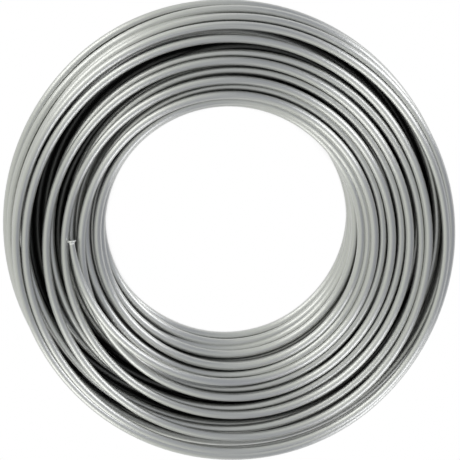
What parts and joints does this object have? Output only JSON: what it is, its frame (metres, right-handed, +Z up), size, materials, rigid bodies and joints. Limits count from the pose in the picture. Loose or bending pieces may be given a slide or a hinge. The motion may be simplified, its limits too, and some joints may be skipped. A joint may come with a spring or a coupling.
{
  "type": "coil of galvanized steel wire",
  "caption": "Round flat-lying coil of bare galvanized steel wire with an open bore, two open layers of turns on top and one free cut end.",
  "frame": {"origin": "middle of the coil's footprint, on the surface it lies on", "axes": "+Z up along the coil's axis, +X and +Y across the coil; the free end's cut face is on the -X side of the top"},
  "size_m": [0.209, 0.209, 0.0218],
  "materials": {
    "galvanized_wire": "bright zinc-coated drawn wire with fine lengthwise streaks and faint warm and cool tints"
  },
  "bodies": {
    "root": {"wire_coil": "galvanized_wire"}
  },
  "joints": []
}
